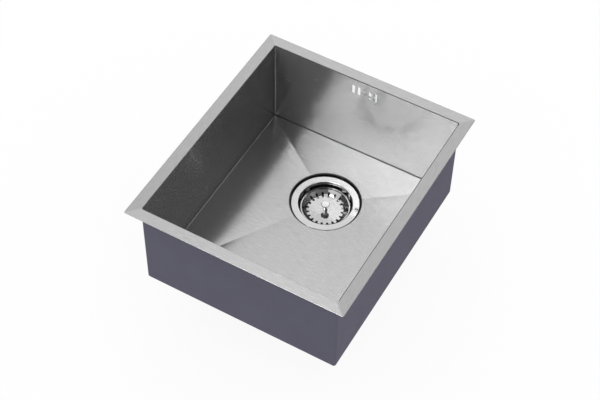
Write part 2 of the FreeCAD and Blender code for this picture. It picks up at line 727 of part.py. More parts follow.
groove_outer = "(size.pipe_radius + size.ring_section + size.fit_gap)"
groove_plan = rectangle(pipe_bore, groove_outer, groove_low, groove_high)
revolve(box, "Groove", "ring_groove", groove_plan, f"-{pipe_y}")

# Gasket between the wall and the housing, with a web round the screw
pad = new_body("overflow_gasket")
pad_half = f"({box_half} - size.pad_border)"
web_half = f"({pad_web} / 2)"
pad_low = f"({box_low} + size.pad_border)"
pad_high = f"(-{box_top} - size.pad_border)"
pad_round = "(size.box_corner - size.pad_border)"
pad_windows = [rounded(f"(-{pad_half})", f"(-{web_half})", pad_low, pad_high, pad_round),
               rounded(web_half, pad_half, pad_low, pad_high, pad_round)]
pad_sketch = new_sketch(pad, "plan", "XZ_Plane", f"-{wall_back}", [box_plan] + pad_windows,
                        [("0", slot_mid, screw_hole)])
extrude(pad, "Pad", "sheet", pad_sketch, "size.overflow_pad", True)

# Screw through the hole between the slots, and its brass insert
at_screw = ("0", half_y, slot_mid)
fixing = new_body("overflow_screw", at_screw, 90)
head_edge = "(size.flow_head_height / 3)"
dome_rise = "(size.flow_head_height * 2 / 3)"
dome_radius = f"((size.flow_head * size.flow_head + {dome_rise} * {dome_rise}) / (2 * {dome_rise}))"
dome_middle = f"(size.flow_head_height - {dome_radius})"
revolve(fixing, "Revolution", "turn", [
    ("0", "-size.flow_length"),
    ("size.flow_screw", "-size.flow_length"),
    ("size.flow_screw", "0"),
    ("size.flow_head", "0"),
    ("size.flow_head", head_edge),
    ("0", "size.flow_head_height", "0", dome_middle, 1),
])
driver_half = "(size.driver_width / 2)"
driver_bars = (("drive_x", "size.driver_reach", driver_half), ("drive_y", driver_half, "size.driver_reach"))
for name, reach_x, reach_y in driver_bars:
    drive_plan = rectangle(f"(-{reach_x})", reach_x, f"(-{reach_y})", reach_y)
    drive_sketch = new_sketch(fixing, f"{name}_plan", "XY_Plane", "size.flow_head_height", [drive_plan])
    extrude(fixing, "Pocket", name, drive_sketch, "size.driver_depth")
insert_front = "(-size.sheet_gauge - size.overflow_pad - size.seat_gap)"
ring("overflow_insert", "(size.flow_screw + size.fit_gap)", f"({flow_insert} - size.fit_gap)",
     f"({insert_front} - size.flow_insert_length)", insert_front, at_screw, 90)

# Pipe from the housing down the wall and in to the waste body
pipe = new_body("overflow_pipe")
pipe_top = f"({socket_end} + size.pipe_entry - size.running_gap)"
pipe_in = f"({waste_y} + {inlet_reach} - size.pipe_grip + size.running_gap)"
bend_y = f"({pipe_y} - size.pipe_bend)"
bend_z = f"({inlet_z} + size.pipe_bend)"
run = pipe.newObject("Sketcher::SketchObject", "overflow_pipe_run")
run.AttachmentSupport = (plane_of(pipe, "YZ_Plane"), [""])
run.MapMode = "FlatFace"
steps = [(pipe_y, pipe_top), (pipe_y, bend_z), (bend_y, inlet_z, bend_y, bend_z, -1), (pipe_in, inlet_z)]
laid = [draw_segment(run, start, end) for start, end in zip(steps, steps[1:])]
for here, after in zip(laid, laid[1:]):
    run.addConstraint(Sketcher.Constraint("Coincident", here[0], here[2], after[0], after[1]))
for step, (item, first, last) in zip(steps, laid):
    bind(run, "DistanceX", item, first, step[0])
    bind(run, "DistanceY", item, first, step[1])
bind(run, "DistanceX", laid[-1][0], laid[-1][2], pipe_in)
bind(run, "DistanceY", laid[-1][0], laid[-1][2], inlet_z)
doc.recompute()
pipe_cuts = (("AdditivePipe", "wall", "size.pipe_radius"), ("SubtractivePipe", "bore", pipe_bore))
for kind, name, radius in pipe_cuts:
    section = new_sketch(pipe, f"{name}_section", "XY_Plane", pipe_top, (), [("0", pipe_y, radius)])
    sweep = pipe.newObject(f"PartDesign::{kind}", f"overflow_pipe_{name}")
    sweep.Profile = section
    sweep.Spine = (run, ["Edge1", "Edge2", "Edge3"])
    doc.recompute()

# O-ring in the socket
seal = new_body("overflow_ring", ("0", pipe_y, groove_mid))
seal_sketch = new_sketch(seal, "turn_outline", "XZ_Plane", "0", (),
                         [("(size.pipe_radius + size.ring_section / 2)", "0", "(size.ring_section / 2)")])
seal_turn = seal.newObject("PartDesign::Revolution", "overflow_ring_turn")
seal_turn.Profile = seal_sketch
seal_turn.ReferenceAxis = (seal_sketch, ["V_Axis"])
seal_turn.Angle = 360
doc.recompute()

# Union nut on the inlet, with grip ribs, and the washer it presses
at_inlet = ("0", waste_y, inlet_z)
nut = new_body("overflow_nut", at_inlet, -90)
nut_low = f"({inlet_reach} - size.nut_grip)"
nut_high = f"({inlet_reach} + size.washer_thick + size.nut_wall)"
revolve(nut, "Revolution", "turn", [
    (f"({inlet_thread} + size.fit_gap)", nut_low),
    (nut_radius, nut_low),
    (nut_radius, nut_high),
    (grip_bore, nut_high),
    (grip_bore, f"({inlet_reach} + size.washer_thick)"),
    (f"({inlet_thread} + size.fit_gap)", f"({inlet_reach} + size.washer_thick)"),
])
rib_half = "(size.nut_rib_width / 2)"
rib_root = f"({nut_radius} - size.nut_rib)"
rib_top = f"({nut_radius} + size.nut_rib)"
rib_plan = rectangle(rib_root, rib_top, f"(-{rib_half})", rib_half)
rib_sketch = new_sketch(nut, "rib_plan", "XY_Plane", nut_low, [rib_plan])
rib = extrude(nut, "Pad", "rib", rib_sketch, f"{nut_high} - {nut_low}")
repeat_round(nut, "ribs", rib, rib_sketch, "size.nut_rib_count")
ring("cone_washer", "(size.pipe_radius + size.fit_gap)", f"({inlet_thread} - size.fit_gap)",
     inlet_reach, f"({inlet_reach} + size.washer_thick)", at_inlet, -90)

# Write one file for each piece, once all of them are sound
doc.recompute()
for item in doc.Objects:
    if "Invalid" in item.State or "Error" in item.State:
        raise RuntimeError(f"{item.Name} is not sound: {item.State}")
os.makedirs("parts", exist_ok=True)
for item in doc.Objects:
    if item.TypeId != "PartDesign::Body":
        continue
    if item.Shape.isNull() or not item.Shape.isValid():
        raise RuntimeError(f"{item.Label} has no valid shape")
    item.Shape.exportStep(os.path.join("parts", f"{item.Label}.step"))
    print(item.Label, "solids", len(item.Shape.Solids), "volume", round(item.Shape.Volume, 1))
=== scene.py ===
import bpy
import bmesh
import json
import math
import numpy as np
from mathutils import Matrix, Vector


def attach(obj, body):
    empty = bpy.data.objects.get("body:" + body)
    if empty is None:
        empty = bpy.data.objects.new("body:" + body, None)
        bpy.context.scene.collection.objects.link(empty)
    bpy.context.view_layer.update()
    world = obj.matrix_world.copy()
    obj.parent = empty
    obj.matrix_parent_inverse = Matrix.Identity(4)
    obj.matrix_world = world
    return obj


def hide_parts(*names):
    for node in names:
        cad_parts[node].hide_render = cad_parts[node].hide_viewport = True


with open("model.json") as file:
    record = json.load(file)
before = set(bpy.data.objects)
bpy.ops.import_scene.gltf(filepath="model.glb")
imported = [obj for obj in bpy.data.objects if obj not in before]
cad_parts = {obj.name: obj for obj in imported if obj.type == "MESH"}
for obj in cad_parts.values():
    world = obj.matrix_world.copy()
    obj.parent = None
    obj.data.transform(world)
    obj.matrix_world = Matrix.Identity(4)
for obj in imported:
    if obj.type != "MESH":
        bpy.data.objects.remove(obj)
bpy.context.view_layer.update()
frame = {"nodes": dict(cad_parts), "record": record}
print("frame loaded:", len(frame["nodes"]), "nodes")

mm = 0.001
tiny = 1e-6


def hexToLinear(code):
    # sRGB hex to linear, with the standard two-part curve
    parts = np.array([int(code[i:i + 2], 16) for i in (1, 3, 5)]) / 255
    linear = np.where(parts <= 0.04045, parts / 12.92, ((parts + 0.055) / 1.055) ** 2.4)
    return (*map(float, linear), 1.0)


def addNode(tree, kind, inputs=None, **settings):
    # an input goes by the name or number of its socket, and is a value or the output of another node
    node = tree.nodes.new(kind)
    for name, setting in settings.items():
        setattr(node, name, setting)
    for name, source in (inputs or {}).items():
        if isinstance(source, bpy.types.NodeSocket):
            tree.links.new(source, node.inputs[name])
        else:
            node.inputs[name].default_value = source
    return node


def newMaterial(name):
    material = bpy.data.materials.new(name)
    material.use_nodes = True
    material.node_tree.nodes.clear()
    return material, material.node_tree


def addMesh(name, points, quads, loopUv=None):
    mesh = bpy.data.meshes.new(name)
    mesh.from_pydata(points.tolist(), [], quads.tolist())
    if loopUv is not None:
        layer = mesh.uv_layers.new(name="brushing")
        layer.data.foreach_set("uv", loopUv.astype(np.float32).ravel())
    mesh.update()
    piece = bpy.data.objects.new(name, mesh)
    bpy.context.scene.collection.objects.link(piece)
    return piece


# camera, solved from the corners of the rim and the bowl in the photograph
cameraView = {
    "place": (0.72477, -1.32745, 1.80958),
    "right": (0.86808, 0.49625, 0.01269),
    "forward": (-0.30070, 0.54599, -0.78197),
    "lens": 90.83,
    "sensor": 36,
    "farEnd": 50,
}


def addCamera():
    # the three axes are squared up and put in the columns of the camera's matrix
    data = bpy.data.cameras.new("camera")
    data.sensor_width = cameraView["sensor"]
    data.lens = cameraView["lens"]
    data.clip_end = cameraView["farEnd"]
    back = -Vector(cameraView["forward"]).normalized()
    right = Vector(cameraView["right"])
    right = (right - back * right.dot(back)).normalized()
    up = back.cross(right)
    turn = Matrix((right, up, back)).transposed().to_4x4()
    camera = bpy.data.objects.new("camera", data)
    camera.matrix_world = Matrix.Translation(cameraView["place"]) @ turn
    bpy.context.scene.collection.objects.link(camera)
    bpy.context.scene.camera = camera


addCamera()
bpy.context.scene.view_settings.view_transform = "Standard"
print("camera set")

# white surround and floor; dim cards at the right and left give the steel its dark zones, a bright card
# in front gives the back wall and the floor their pale ones, and a glow at the back left lifts the rim
studio = {
    "white": "#ffffff",
    "floorLevel": -0.2718,
    "floorHalf": 4.0,
    "floorGlow": 0.9,
    "dimCards": {
        "dimCardRight": {"x": 0.62, "yLow": -2.2, "yHigh": 2.6, "zLow": 0.1, "zHigh": 2.6, "strength": 0.2},
        "dimCardLeft": {"x": -1.6, "yLow": 0.5, "yHigh": 2.1, "zLow": -0.26, "zHigh": 1.3, "strength": 0.1},
    },
    "brightCard": {"middle": (-0.4, -1.0, 2.18), "half": 0.5, "strength": 8.4},
    "glowCard": {"x": -1.65, "y": 2.35, "z": 2.5, "reach": 1.5, "strength": 1.0, "extra": 0.36},
}


def addWorld():
    # even white on all sides
    world = bpy.data.worlds.new("white surround")
    bpy.context.scene.world = world
    world.use_nodes = True
    tree = world.node_tree
    tree.nodes.clear()
    white = addNode(tree, "ShaderNodeBackground", {"Color": hexToLinear(studio["white"]), "Strength": 1.0})
    addNode(tree, "ShaderNodeOutputWorld", {"Surface": white.outputs[0]})


def addFloor():
    # flat square; part of it glows for camera, gloss and clear rays so that it reads as white paper
    half = studio["floorHalf"]
    level = studio["floorLevel"]
    corners = np.array([(-half, -half, level), (half, -half, level),
                        (half, half, level), (-half, half, level)])
    floor = addMesh("floor", corners, np.array([[0, 1, 2, 3]]))
    material, tree = newMaterial("whitePaperSweep")
    white = hexToLinear(studio["white"])
    path = addNode(tree, "ShaderNodeLightPath").outputs
    gloss = addNode(tree, "ShaderNodeMath", {0: path["Is Camera Ray"], 1: path["Is Glossy Ray"]},
                    operation="MAXIMUM")
    clear = addNode(tree, "ShaderNodeMath", {0: gloss.outputs[0], 1: path["Is Transmission Ray"]},
                    operation="MAXIMUM")
    share = addNode(tree, "ShaderNodeMath", {0: clear.outputs[0], 1: studio["floorGlow"]},
                    operation="MULTIPLY")
    paper = addNode(tree, "ShaderNodeBsdfDiffuse", {"Color": white})
    glow = addNode(tree, "ShaderNodeEmission", {"Color": white, "Strength": 1.0})
    both = addNode(tree, "ShaderNodeMixShader",
                   {0: share.outputs[0], 1: paper.outputs[0], 2: glow.outputs[0]})
    addNode(tree, "ShaderNodeOutputMaterial", {"Surface": both.outputs[0]})
    floor.data.materials.append(material)


def addCard(name, corners, strength, glow=None):
    # a studio card that only the gloss of the steel sees; a glow swells to the middle and is even at the edge
    card = addMesh(name, np.array(corners), np.array([[0, 1, 2, 3]]))
    material, tree = newMaterial(name + "Board")
    light = addNode(tree, "ShaderNodeEmission", {"Color": hexToLinear(studio["white"]), "Strength": strength})
    if glow:
        middle = np.array((glow["x"], glow["y"], glow["z"]))
        place = addNode(tree, "ShaderNodeTexCoord")
        span = addNode(tree, "ShaderNodeMapping",
                       {"Vector": place.outputs["Object"], "Location": -middle / glow["reach"],
                        "Scale": np.full(3, 1 / glow["reach"])})
        swell = addNode(tree, "ShaderNodeTexGradient", {"Vector": span.outputs[0]},
                        gradient_type="QUADRATIC_SPHERE")
        total = addNode(tree, "ShaderNodeMath", {0: swell.outputs[1], 1: glow["extra"], 2: strength},
                        operation="MULTIPLY_ADD")
        tree.links.new(total.outputs[0], light.inputs["Strength"])
    addNode(tree, "ShaderNodeOutputMaterial", {"Surface": light.outputs[0]})
    card.data.materials.append(material)
    card.visible_camera = False
    card.visible_diffuse = False
    card.visible_transmission = False
    card.visible_shadow = False


def addCards():
    # upright dim cards, a square card that faces the sink, and a level square for the glow
    for name, dim in studio["dimCards"].items():
        x = dim["x"]
        corners = [(x, dim["yLow"], dim["zLow"]), (x, dim["yHigh"], dim["zLow"]),
                   (x, dim["yHigh"], dim["zHigh"]), (x, dim["yLow"], dim["zHigh"])]
        addCard(name, corners, dim["strength"])
    bright = studio["brightCard"]
    middle = Vector(bright["middle"])
    toSink = -middle.normalized()
    side = toSink.cross(Vector((0, 0, 1))).normalized() * bright["half"]
    up = side.cross(toSink).normalized() * bright["half"]
    corners = [middle - side - up, middle + side - up, middle + side + up, middle - side + up]
    addCard("brightCard", corners, bright["strength"])
    glow = studio["glowCard"]
    west, east = glow["x"] - glow["reach"], glow["x"] + glow["reach"]
    south, north = glow["y"] - glow["reach"], glow["y"] + glow["reach"]
    corners = [(west, south, glow["z"]), (east, south, glow["z"]),
               (east, north, glow["z"]), (west, north, glow["z"])]
    addCard("glowCard", corners, glow["strength"], glow)


addWorld()
addFloor()
addCards()
print("studio set")

# polished stainless pressing: near mirror, with faint buffing haze
polishedPressing = {"pale": "#d3d3d3", "deep": "#c6c6c6", "rough": 0.045, "haze": 0.06, "patch": 14.0}
# polished stainless basket: a greyer mirror with smaller patches of haze, so that it stands off the flange
polishedBasket = {"pale": "#c4c4c4", "deep": "#b6b6b6", "rough": 0.06, "haze": 0.07, "patch": 9.0}
# turned and polished stainless knob: bright, with soft edges to what it mirrors
turnedKnob = {"pale": "#d6d6d6", "deep": "#c8c8c8", "rough": 0.07, "haze": 0.05, "patch": 4.0}
# stainless screw: pale and matt, so that its head reads light in the hole of the wall
screwSteel = {"pale": "#f2f2f3", "deep": "#e6e6e8", "rough": 0.55, "haze": 0.12, "patch": 2.5}
# turned brass: warm, with a soft shine
turnedBrass = {"pale": "#d8b56a", "deep": "#c9a356", "rough": 0.24, "haze": 0.1, "patch": 3.0}
polishNoise = {"detail": 3.0, "low": 0.35, "high": 0.65}


def polishedMaterial(name, look):
    # patches of haze, at a real size in mm, vary tone and roughness together
    material, tree = newMaterial(name)
    place = addNode(tree, "ShaderNodeTexCoord")
    cloud = addNode(tree, "ShaderNodeTexNoise",
                    {"Vector": place.outputs["Object"], "Scale": 1 / (look["patch"] * mm),
                     "Detail": polishNoise["detail"]})
    tone = addNode(tree, "ShaderNodeMix",
                   {0: cloud.outputs[0], 6: hexToLinear(look["deep"]), 7: hexToLinear(look["pale"])},
                   data_type="RGBA")
    rough = addNode(tree, "ShaderNodeMapRange",
                    {0: cloud.outputs[0], 1: polishNoise["low"], 2: polishNoise["high"],
                     3: look["rough"], 4: look["rough"] + look["haze"]})
    metal = addNode(tree, "ShaderNodeBsdfPrincipled",
                    {"Base Color": tone.outputs[2], "Roughness": rough.outputs[0], "Metallic": 1.0})
    addNode(tree, "ShaderNodeOutputMaterial", {"Surface": metal.outputs[0]})
    return material


# sprayed sound-deadening coat: matt, faintly pebbled, a little uneven in tone
sprayedCoat = {"pale": "#555364", "deep": "#4d4b5b", "rough": 0.8,
               "pebble": 1.4, "cloud": 45.0, "depth": 0.08}
# moulded white polypropylene: smooth, with a soft sheen
mouldedWhite = {"pale": "#ecece8", "deep": "#e2e2dd", "rough": 0.42,
                "pebble": 0.9, "cloud": 30.0, "depth": 0.02, "sockets": {"IOR": 1.49}}
# clear moulded polypropylene: lets the white surround show through the slots; it bends light less than the
# real one, about 1.5, which keeps the slots as bright as in the photograph
naturalClear = {"pale": "#fbfcfb", "deep": "#f5f7f6", "rough": 0.15,
                "pebble": 1.2, "cloud": 25.0, "depth": 0.02,
                "sockets": {"IOR": 1.2, "Transmission Weight": 0.98}}
# moulded rubber: dark and dull
blackRubber = {"pale": "#2a2a2c", "deep": "#1f1f21", "rough": 0.62,
               "pebble": 0.5, "cloud": 9.0, "depth": 0.02}
# closed-cell foam: chalky, with no shine
paleFoam = {"pale": "#dbd9d2", "deep": "#cfcdc5", "rough": 0.9,
            "pebble": 0.7, "cloud": 8.0, "depth": 0.08}
grainNoise = {"cloudDetail": 5.0, "pebbleDetail": 2.0, "low": 0.3, "high": 0.7, "spread": 0.05, "relief": 0.6}


def grainedMaterial(name, look):
    # cloudy colour at one real size in mm and a pebbled surface at another
    material, tree = newMaterial(name)
    place = addNode(tree, "ShaderNodeTexCoord")
    cloud = addNode(tree, "ShaderNodeTexNoise",
                    {"Vector": place.outputs["Object"], "Scale": 1 / (look["cloud"] * mm),
                     "Detail": grainNoise["cloudDetail"]})
    pebble = addNode(tree, "ShaderNodeTexNoise",
                     {"Vector": place.outputs["Object"], "Scale": 1 / (look["pebble"] * mm),
                      "Detail": grainNoise["pebbleDetail"]})
    tone = addNode(tree, "ShaderNodeMix",
                   {0: cloud.outputs[0], 6: hexToLinear(look["deep"]), 7: hexToLinear(look["pale"])},
                   data_type="RGBA")
    rough = addNode(tree, "ShaderNodeMapRange",
                    {0: pebble.outputs[0], 1: grainNoise["low"], 2: grainNoise["high"],
                     3: look["rough"] - grainNoise["spread"], 4: look["rough"] + grainNoise["spread"]})
    relief = addNode(tree, "ShaderNodeBump",
                     {"Height": pebble.outputs[0], "Strength": grainNoise["relief"],
                      "Distance": look["depth"] * mm})
    skin = addNode(tree, "ShaderNodeBsdfPrincipled",
                   {"Base Color": tone.outputs[2], "Roughness": rough.outputs[0],
                    "Normal": relief.outputs[0], **look.get("sockets", {})})
    addNode(tree, "ShaderNodeOutputMaterial", {"Surface": skin.outputs[0]})
    return material


# bowl: one folded sheet, drawn as rings of rounded rectangles that turn into the round recess, sizes in mm
bowlShape = {
    "rimWidth": 20.0, "rimCorner": 2.5, "edgeRound": 0.25, "edgeCut": 0.3,
    "innerHalf": (170.0, 200.0), "innerCorner": 2.0,
    "mouthRadius": 1.2, "foldRadius": 1.5, "wallDepth": 172.0, "sheet": 1.2, "sharpAngle": 50,
    "wasteY": 77.0, "floorFall": 3.5, "creaseSoftness": 0.1, "creaseDip": 0.28, "creaseReach": 0.22,
    "lipRadius": 60.8, "lipRound": 1.2, "seatLevel": -181.0, "seatRadius": 59.6, "holeRadius": 47.2,
    # columns: distances from a corner, and how many more along half a side
    "nearCorner": (0.4, 1.0, 1.8, 2.8, 4.0, 5.5, 7.5), "farStart": 11.0, "sideSteps": 16, "backSteps": 14,
    # rows of rim, bends and wall
    "bendSteps": 7, "bendMargin": 0.5, "rimMargin": 1.0, "rimSteps": 7,
    "wallHead": (0.5, 3.5), "wallSteps": 12,
    # rows of the floor, as parts of the way to the lip, then of the lip, by degrees of its round
    "floorHead": (0.0, 0.003), "floorStart": 0.012, "floorEnd": 0.985, "floorSteps": 30, "lipMargin": 0.6,
    "lipStart": 15, "lipEnd": 75, "lipSteps": 5,
    # rows of the recess: parts of its wall, then inset from the wall's foot with lift above the seat
    "recessParts": (0.35, 0.7, 1.0), "root": ((0.1, 0.5), (0.25, 0.15), (0.6, 0.0), (4.0, 0.0)),
    # keeps the floor's UV clear of the walls'
    "floorShift": (900.0, 700.0),
}
# overflow: four round-ended slots and a screw hole in a row of five cells, sizes in mm
overflowShape = {
    "slotHalfWidth": 2.8, "slotHalfHeight": 10.0, "pitch": 10.2, "middle": -24.3, "screwRadius": 2.75,
    "windowTop": -9.3, "windowLow": -39.3, "cells": 5, "screwCell": 2, "cellColumns": 8, "cellRows": 10,
    "blend": (0, 0.45, 0.8, 1.0),
}
# brushed stainless sheet: long fine scratches along the sheet blur what it mirrors, the walls a little more;
# the bends of the right and back walls and the lip of the recess get painted shade, a darker tone with more
# roughness, standing in for the dark lines that shade makes along them
brushedSheet = {
    "pale": "#c1c1c1", "deep": "#acacac", "roughLow": 0.2, "roughHigh": 0.235, "wallExtra": 0.04,
    "grain": 1.0, "grainTurn": 0.25, "scratchWidth": 0.9, "scratchLength": 18.0,
    "detail": 4.0, "fineness": 0.6, "low": 0.3, "high": 0.7, "relief": 0.5, "depth": 0.002,
    # the dull tone is painted shade, darker than the steel, laid on the bends of the right and back walls and
    # on the lip of the recess
    "paintedShadeTone": "#5c5c5c", "dullRough": 0.45, "paintedShadeEnd": 738.0,
    "foldShift": 1.0, "foldHalf": 1.7, "mouthShift": -0.3, "mouthHalf": 0.9, "lipShift": -0.3, "lipHalf": 1.1,
}


def brushedSheetMaterial():
    # real scratches are under 0.1 mm wide; drawn 0.9 mm wide so that they show at this size
    material, tree = newMaterial("brushedStainlessSheet")
    look = brushedSheet
    shape = bowlShape
    uv = addNode(tree, "ShaderNodeUVMap", uv_map="brushing").outputs["UV"]
    stretch = addNode(tree, "ShaderNodeMapping",
                      {"Vector": uv,
                       "Scale": (1 / (look["scratchLength"] * mm), 1 / (look["scratchWidth"] * mm), 1)})
    scratch = addNode(tree, "ShaderNodeTexNoise",
                      {"Vector": stretch.outputs[0], "Scale": 1.0, "Detail": look["detail"],
                       "Roughness": look["fineness"]})
    spread = addNode(tree, "ShaderNodeMapRange", {0: scratch.outputs[0], 1: look["low"], 2: look["high"]})
    tone = addNode(tree, "ShaderNodeMix",
                   {0: spread.outputs[0], 6: hexToLinear(look["deep"]), 7: hexToLinear(look["pale"])},
                   data_type="RGBA")
    rough = addNode(tree, "ShaderNodeMapRange",
                    {0: spread.outputs[0], 3: look["roughLow"], 4: look["roughHigh"]})
    # on rim and walls u is the run round the bowl and v the run down from the rim's outer edge; each of the
    # bands below is one within half its width of its middle, and nought elsewhere
    run = addNode(tree, "ShaderNodeSeparateXYZ", {"Vector": uv}).outputs
    wallHalf = shape["wallDepth"] / 2
    wall = addNode(tree, "ShaderNodeMath",
                   {0: run[1], 1: (shape["rimWidth"] + wallHalf) * mm, 2: wallHalf * mm},
                   operation="COMPARE")
    rough = addNode(tree, "ShaderNodeMath", {0: wall.outputs[0], 1: look["wallExtra"], 2: rough.outputs[0]},
                    operation="MULTIPLY_ADD")
    foldRun = shape["rimWidth"] + shape["wallDepth"] + look["foldShift"]
    fold = addNode(tree, "ShaderNodeMath", {0: run[1], 1: foldRun * mm, 2: look["foldHalf"] * mm},
                   operation="COMPARE")
    mouthRun = shape["rimWidth"] + look["mouthShift"]
    mouth = addNode(tree, "ShaderNodeMath", {0: run[1], 1: mouthRun * mm, 2: look["mouthHalf"] * mm},
                    operation="COMPARE")
    bend = addNode(tree, "ShaderNodeMath", {0: fold.outputs[0], 1: mouth.outputs[0]}, operation="ADD")
    rightAndBack = addNode(tree, "ShaderNodeMath", {0: run[0], 1: look["paintedShadeEnd"] * mm},
                           operation="LESS_THAN")
    shiftX, shiftY = shape["floorShift"]
    reach = addNode(tree, "ShaderNodeVectorMath",
                    {0: uv, 1: (shiftX * mm, (shiftY + shape["wasteY"]) * mm, 0)}, operation="DISTANCE")
    lipRun = shape["lipRadius"] + look["lipShift"]
    lip = addNode(tree, "ShaderNodeMath",
                  {0: reach.outputs["Value"], 1: lipRun * mm, 2: look["lipHalf"] * mm}, operation="COMPARE")
    # painted shade: the fold and mouth bands of the right and back walls, and the lip band of the recess,
    # take the darker tone and more roughness
    paintedShade = addNode(tree, "ShaderNodeMath",
                   {0: bend.outputs[0], 1: rightAndBack.outputs[0], 2: lip.outputs[0]},
                   operation="MULTIPLY_ADD")
    tone = addNode(tree, "ShaderNodeMix",
                   {0: paintedShade.outputs[0], 6: tone.outputs[2], 7: hexToLinear(look["paintedShadeTone"])},
                   data_type="RGBA")
    rough = addNode(tree, "ShaderNodeMix",
                    {0: paintedShade.outputs[0], 2: rough.outputs[0], 3: look["dullRough"]}, data_type="FLOAT")
    relief = addNode(tree, "ShaderNodeBump",
                     {"Height": scratch.outputs[0], "Strength": look["relief"],
                      "Distance": look["depth"] * mm})
    along = addNode(tree, "ShaderNodeTangent", direction_type="UV_MAP", uv_map="brushing")
    steel = addNode(tree, "ShaderNodeBsdfPrincipled",
                    {"Base Color": tone.outputs[2], "Roughness": rough.outputs[0], "Metallic": 1.0,
                     "Normal": relief.outputs[0], "Tangent": along.outputs[0],
                     "Anisotropic": look["grain"], "Anisotropic Rotation": look["grainTurn"]})
    addNode(tree, "ShaderNodeOutputMaterial", {"Surface": steel.outputs[0]})
    return material


def gradedSteps(reach, count):
    # distances from a corner along one half of a side: close together at the corner, wider further off
    return np.concatenate([bowlShape["nearCorner"], np.linspace(bowlShape["farStart"], reach, count)])


def ringPlan():
    # for each column: share of the straight half-lengths, and the outward direction
    halfX, halfY = bowlShape["innerHalf"]
    flatX = halfX - bowlShape["innerCorner"]
    flatY = halfY - bowlShape["innerCorner"]
    alongY = gradedSteps(flatY, bowlShape["sideSteps"])
    sideY = np.concatenate([alongY - flatY, (flatY - alongY)[::-1][1:]]) / flatY
    flow = overflowShape
    windowHalf = flow["pitch"] * flow["cells"] / 2
    window = np.linspace(windowHalf, -windowHalf, flow["cells"] * flow["cellColumns"] + 1)
    outer = gradedSteps(flatX - windowHalf, bowlShape["backSteps"])[:-1]
    sideX = np.concatenate([flatX - outer, window, (outer - flatX)[::-1]]) / flatX
    turn = np.radians(np.linspace(0, 90, bowlShape["bendSteps"]))
    share, outward = [], []
    sides = (((1, 1), sideY), ((-1, 1), sideX), ((-1, -1), -sideY), ((1, -1), -sideX))
    for number, (corner, side) in enumerate(sides):
        start = number * math.pi / 2
        lead = np.array((math.cos(start), math.sin(start)))
        run = np.zeros((len(side), 2))
        run[:, number % 2] = lead[number % 2]
        run[:, 1 - number % 2] = side
        share += [run, np.tile(corner, (len(turn), 1))]
        outward += [np.tile(lead, (len(side), 1)), np.stack([np.cos(start + turn), np.sin(start + turn)], 1)]
    return np.concatenate(share), np.concatenate(outward)


def ring(plan, out, corner):
    # rounded rectangle: the straight half-lengths by share, plus the corner radius outward
    share, outward = plan
    halfX, halfY = bowlShape["innerHalf"]
    return share * (halfX + out - corner, halfY + out - corner) + corner * outward


def atHeight(flat, z):
    # a row of points from an outline, all at one height or each at its own
    return np.column_stack([flat, np.broadcast_to(z, len(flat))])


def floorHeight(spot):
    # four planes that fall to the waste; the highest wins, with a soft parabola across each crease,
    # and each crease is pressed a little deeper, fading with the gap between the two highest planes
    shape = bowlShape
    x, y = spot.T
    halfX = shape["innerHalf"][0] - shape["foldRadius"]
    halfY = shape["innerHalf"][1] - shape["foldRadius"]
    fall = shape["floorFall"]
    planes = [fall * x / halfX, -fall * x / halfX,
              fall * (y - shape["wasteY"]) / (halfY - shape["wasteY"]),
              fall * (shape["wasteY"] - y) / (halfY + shape["wasteY"])]
    height = planes[0]
    soft = shape["creaseSoftness"]
    for plane in planes[1:]:
        overlap = np.maximum(soft - np.abs(height - plane), 0) / soft
        height = np.maximum(height, plane) + overlap ** 2 * soft / 4
    ranked = np.sort(np.stack(planes), axis=0)
    dip = shape["creaseDip"] * np.exp(-(ranked[-1] - ranked[-2]) / shape["creaseReach"])
    return -shape["wallDepth"] - fall + height - dip


def foldedRows(plan):
    # one profile carried round the plan from the outside in: rounded edge, flat rim, quarter round at the
    # mouth, straight wall and quarter round at the fold; each row has its run along the sheet
    shape = bowlShape
    flow = overflowShape
    mouth = shape["mouthRadius"]
    fold = shape["foldRadius"]
    edge = shape["edgeRound"]
    cut = edge * shape["edgeCut"]
    inner = shape["innerCorner"]
    rimWidth = shape["rimWidth"]
    margin = shape["bendMargin"]
    bend = np.radians(np.linspace(0, 90, shape["bendSteps"]))
    rows = []
    runs = []
    rim = [(rimWidth, -edge * 2), (rimWidth, -edge), (rimWidth - cut, -cut), (rimWidth - edge, 0.0)]
    level = np.linspace(rimWidth - shape["rimMargin"], mouth + margin, shape["rimSteps"])
    rim += [(out, 0.0) for out in level]
    for out, z in rim:
        part = (out - mouth) / (rimWidth - mouth)
        corner = inner + mouth + (shape["rimCorner"] - inner - mouth) * part
        rows.append(atHeight(ring(plan, out, corner), z))
        runs.append(rimWidth - out)
    for angle in bend:
        out = mouth * (1 - math.sin(angle))
        rows.append(atHeight(ring(plan, out, inner + out), mouth * (math.cos(angle) - 1)))
        runs.append(rimWidth - mouth + mouth * angle)
    windowRow = len(rows) + len(shape["wallHead"])
    wall = np.concatenate([-mouth - np.array(shape["wallHead"]),
                           np.linspace(flow["windowTop"], flow["windowLow"], flow["cellRows"] + 1),
                           np.linspace(flow["windowLow"], fold + margin - shape["wallDepth"],
                                       shape["wallSteps"])[1:]])
    for z in wall:
        rows.append(atHeight(ring(plan, 0.0, inner), z))
        runs.append(rimWidth - mouth + mouth * math.pi / 2 - z)
    for angle in bend[:-1]:
        out = -fold * (1 - math.cos(angle))
        z = fold - shape["wallDepth"] - fold * math.sin(angle)
        rows.append(atHeight(ring(plan, out, inner + out), z))
        runs.append(rimWidth + shape["wallDepth"] + fold * angle)
    return rows, runs, windowRow


